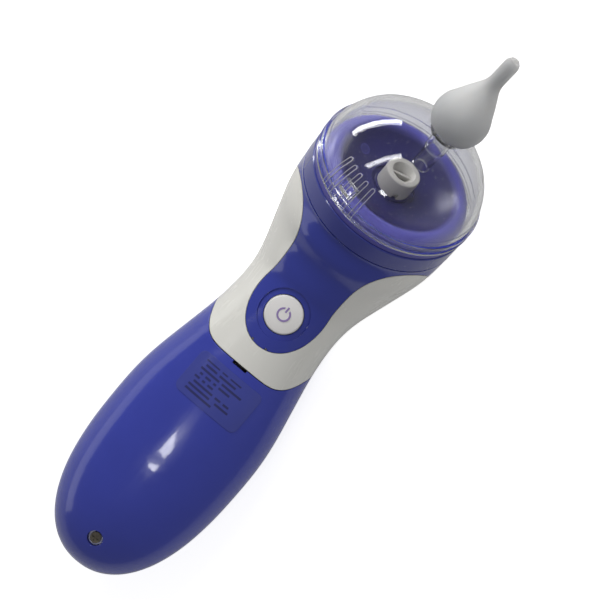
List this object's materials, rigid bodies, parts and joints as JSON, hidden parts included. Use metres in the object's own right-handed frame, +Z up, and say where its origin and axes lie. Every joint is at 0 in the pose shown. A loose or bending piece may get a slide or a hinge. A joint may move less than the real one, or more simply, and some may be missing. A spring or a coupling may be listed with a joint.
{
  "type": "nasal aspirator",
  "caption": "Hand-held battery nasal aspirator: round-ended handle with push button, tilted collection dish under a clear dome, and a soft silicone tip.",
  "frame": {"origin": "on the resting plane under the middle of the whole length, device lying on its back", "axes": "+X along the handle towards the soft tip, +Z up out of the button face, +Y to the left seen from the tip end"},
  "size_m": [0.1996, 0.0548, 0.0695],
  "materials": {
    "blue_shell": "deep violet blue, polished",
    "white_shell": "warm grey white, polished",
    "blue_panel": "deep violet blue, polished",
    "blue_dish": "violet blue, translucent look",
    "button_white": "white, satin",
    "symbol_violet": "printed violet",
    "label_film": "clear film",
    "screw_steel": "plated steel",
    "clear_dome": "clear polycarbonate",
    "silicone_grey": "frosted translucent silicone",
    "inlet_white": "white",
    "seal_dark": "dark seal",
    "inner_black": "black moulding",
    "inner_white": "natural nylon",
    "cell_wrap": "cell wrap",
    "contact_nickel": "nickel plated",
    "motor_steel": "plated steel",
    "board_green": "solder mask",
    "wire_red": "insulation",
    "hose_clear": "silicone hose"
  },
  "bodies": {
    "handle": {"front_body_shell": "white_shell", "rear_body_shell": "white_shell", "rear_handle_shell": "blue_shell", "front_panel": "blue_panel", "collar_ring": "blue_shell", "battery_tray": "inner_black", "battery_left": "cell_wrap", "battery_right": "cell_wrap", "bridge_contact": "contact_nickel", "end_contacts": "contact_nickel", "contact_springs": "contact_nickel", "battery_leads": "wire_red", "motor_leads": "wire_red", "tact_switch": "inner_black", "circuit_board": "board_green", "board_parts": "inner_black", "motor_cradle": "inner_white", "cradle_screws": "screw_steel", "motor_can": "motor_steel", "motor_bell": "inner_black", "pump_housing": "inner_black", "diaphragm": "seal_dark", "valve_plate": "inner_black", "pump_cap": "inner_black", "suction_hose": "hose_clear", "suction_deck": "inner_white", "deck_screws": "screw_steel"},
    "button": {"power_button": "button_white", "power_symbol": "symbol_violet", "switch_plunger": "inner_black"},
    "battery_door": {"battery_cover": "blue_shell", "rating_label": "label_film", "battery_cover_screw": "screw_steel"},
    "rotor": {"motor_rotor": "motor_steel", "motor_shaft": "motor_steel", "crank_hub": "inner_white"},
    "wobble": {"wobble_plate": "inner_white"},
    "cup": {"collection_dish": "blue_dish", "spigot_seal": "seal_dark", "rim_gasket": "seal_dark", "air_inlet_turret": "inlet_white"},
    "dome": {"dome_cover": "clear_dome"},
    "tip": {"silicone_tip": "silicone_grey"}
  },
  "joints": [
    {"name": "button_press", "type": "slide", "parent": "handle", "child": "button", "axis": [0, 0, -1], "range_m": [0, 0.0006], "stiffness_N_per_m": 1200},
    {"name": "battery_door_lift", "type": "slide", "parent": "handle", "child": "battery_door", "axis": [0, 0, 1], "range_m": [0, 0.03]},
    {"name": "motor_spin", "type": "hinge", "parent": "handle", "child": "rotor", "pos_m": [0.00499, 0, 0.012], "axis": [1, 0, 0], "continuous": true},
    {"name": "wobble_turn", "type": "hinge", "parent": "rotor", "child": "wobble", "pos_m": [0.00939, 0, 0.012], "axis": [0.9945, 0, -0.1045], "continuous": true},
    {"name": "cup_lift", "type": "slide", "parent": "handle", "child": "cup", "axis": [0.6884, 0, 0.7254], "range_m": [0, 0.025]},
    {"name": "dome_twist", "type": "hinge", "parent": "cup", "child": "dome", "pos_m": [0.05409, 0, 0.035], "axis": [0.6884, 0, 0.7254], "range_deg": [0, 22]},
    {"name": "tip_pull", "type": "slide", "parent": "dome", "child": "tip", "axis": [0.7652, -0.0457, 0.6422], "range_m": [0, 0.012]}
  ],
  "couplings": [
    {"joint": "wobble_turn", "follows": "motor_spin", "ratio": -1}
  ]
}
